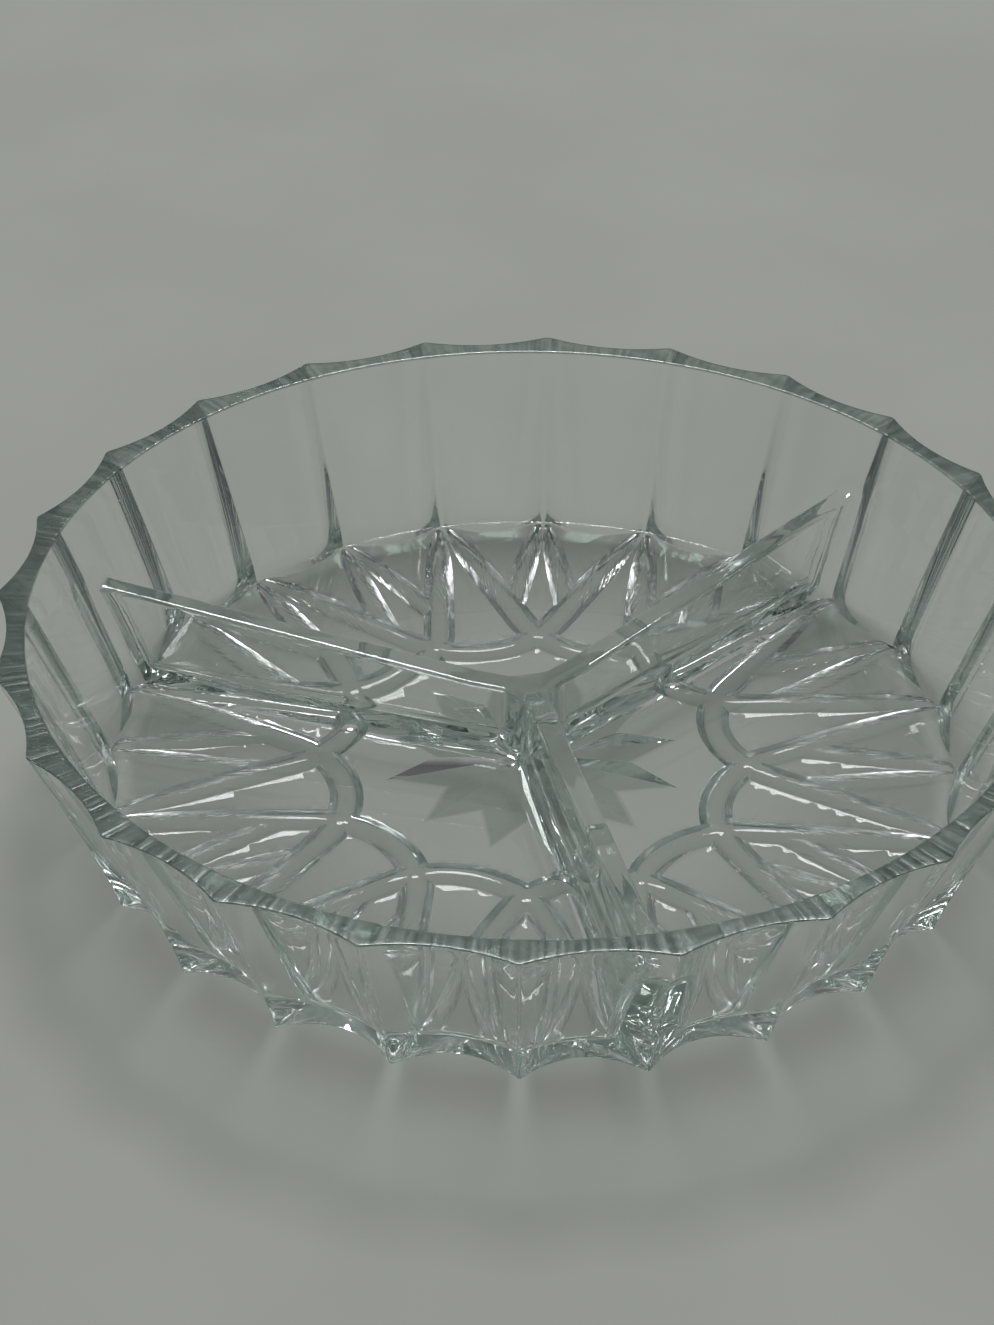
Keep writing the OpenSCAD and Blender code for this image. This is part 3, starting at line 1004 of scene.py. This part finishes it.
class BuildStage(bpy.types.Operator):
    """Set out the floor, the light and the camera"""

    bl_idname = "relish_dish.build_stage"
    bl_label = "Stage"

    def execute(self, context):
        """Makes the stage round the dish."""
        look = context.scene.stage_look
        self.lay_floor(look)
        self.light_room(context.scene, look)
        self.hang_lamp(look)
        self.set_camera(context.scene, look)
        context.scene.view_settings.view_transform = "Standard"
        for name, count in BOUNCES.items():
            setattr(context.scene.cycles, name, count)
        return {"FINISHED"}

    def lay_floor(self, look):
        """A round floor just under the dish."""
        disc = bmesh.new()
        bmesh.ops.create_circle(disc, cap_ends=True, segments=FLOOR_SIDES, radius=look.floor_radius)
        mesh = bpy.data.meshes.new("floor")
        disc.to_mesh(mesh)
        disc.free()
        floor = bpy.data.objects.new("floor", mesh)
        floor.location.z = -look.floor_gap
        mesh.materials.append(floor_paper(look))
        bpy.context.scene.collection.objects.link(floor)

    def light_room(self, scene, look):
        """A dim room with a brighter ceiling, back and front."""
        world = bpy.data.worlds.new("room")
        world.use_nodes = True
        nodes = ShaderNodes(world.node_tree)
        sight = nodes.add("ShaderNodeTexCoord").outputs["Generated"]
        back = Vector((math.cos(look.lamp_turn), math.sin(look.lamp_turn), 0))
        sides = (
            (Vector((0, 0, 1)), CEILING_GLOW, look.ceiling_light),
            (back, SIDE_GLOW, look.back_light),
            (-back, SIDE_GLOW, look.front_light),
        )
        brightness = look.room_light
        for direction, glow, light in sides:
            toward = nodes.add("ShaderNodeVectorMath", {0: sight, 1: direction}, operation="DOT_PRODUCT")
            side = nodes.ranged(toward.outputs["Value"], *glow, 0, light)
            brightness = nodes.calculated("ADD", side, brightness)
        sky = nodes.add("ShaderNodeBackground", {"Color": (1, 1, 1, 1), "Strength": brightness})
        nodes.add("ShaderNodeOutputWorld", {"Surface": sky.outputs["Background"]})
        scene.world = world

    def hang_lamp(self, look):
        """A soft lamp above and behind the dish."""
        lamp = bpy.data.lights.new("soft_lamp", "AREA")
        lamp.shape = "DISK"
        lamp.size = look.lamp_size
        lamp.energy = look.lamp_power
        holder = bpy.data.objects.new("soft_lamp", lamp)
        level = math.sin(look.lamp_tilt)
        x, y = level * math.cos(look.lamp_turn), level * math.sin(look.lamp_turn)
        toward = Vector((x, y, math.cos(look.lamp_tilt)))
        holder.location = toward * look.lamp_distance
        holder.rotation_euler = toward.to_track_quat("Z", "Y").to_euler()
        bpy.context.scene.collection.objects.link(holder)

    def set_camera(self, scene, look):
        """The photograph's camera."""
        camera = bpy.data.cameras.new("camera")
        camera.lens = look.camera_lens
        camera.sensor_width = SENSOR_LENGTH
        camera.clip_start = NEAREST_SEEN
        holder = bpy.data.objects.new("camera", camera)
        place, aim = Vector(look.camera_place), Vector(look.camera_aim)
        holder.location = place
        turn = (aim - place).to_track_quat("-Z", "Y").to_matrix().to_4x4()
        turn = turn @ Matrix.Rotation(look.camera_roll, 4, "Z")
        holder.rotation_euler = turn.to_euler()
        scene.collection.objects.link(holder)
        scene.camera = holder


class RelishDishPanel(bpy.types.Panel):
    """Sizes and finishes of the dish"""

    bl_idname = "VIEW3D_PT_relish_dish"
    bl_label = "Relish dish"
    bl_space_type = "VIEW_3D"
    bl_region_type = "UI"
    bl_category = "Relish Dish"

    def draw(self, context):
        """Lists the builders and what can be set."""
        for operator in OPERATORS:
            self.layout.operator(operator.bl_idname)
        for group in (context.scene.dish_sizes, context.scene.glass_look, context.scene.stage_look):
            box = self.layout.box()
            for name in group.__annotations__:
                box.prop(group, name)


OPERATORS = (BuildGlassDish, BuildStage)
GROUPS = {"dish_sizes": DishSizes, "glass_look": GlassLook, "stage_look": StageLook}


def register():
    """Adds the classes and their settings to Blender."""
    for kind in (*GROUPS.values(), *OPERATORS, RelishDishPanel):
        bpy.utils.register_class(kind)
    for name, group in GROUPS.items():
        setattr(bpy.types.Scene, name, bpy.props.PointerProperty(type=group))


def unregister():
    """Takes the classes and their settings out of Blender."""
    for name in GROUPS:
        delattr(bpy.types.Scene, name)
    for kind in (RelishDishPanel, *reversed(OPERATORS), *reversed(GROUPS.values())):
        bpy.utils.unregister_class(kind)


def main():
    """Builds the dish and its stage."""
    register()
    bpy.ops.relish_dish.build_glass_dish()
    bpy.ops.relish_dish.build_stage()


if __name__ == "__main__":
    main()
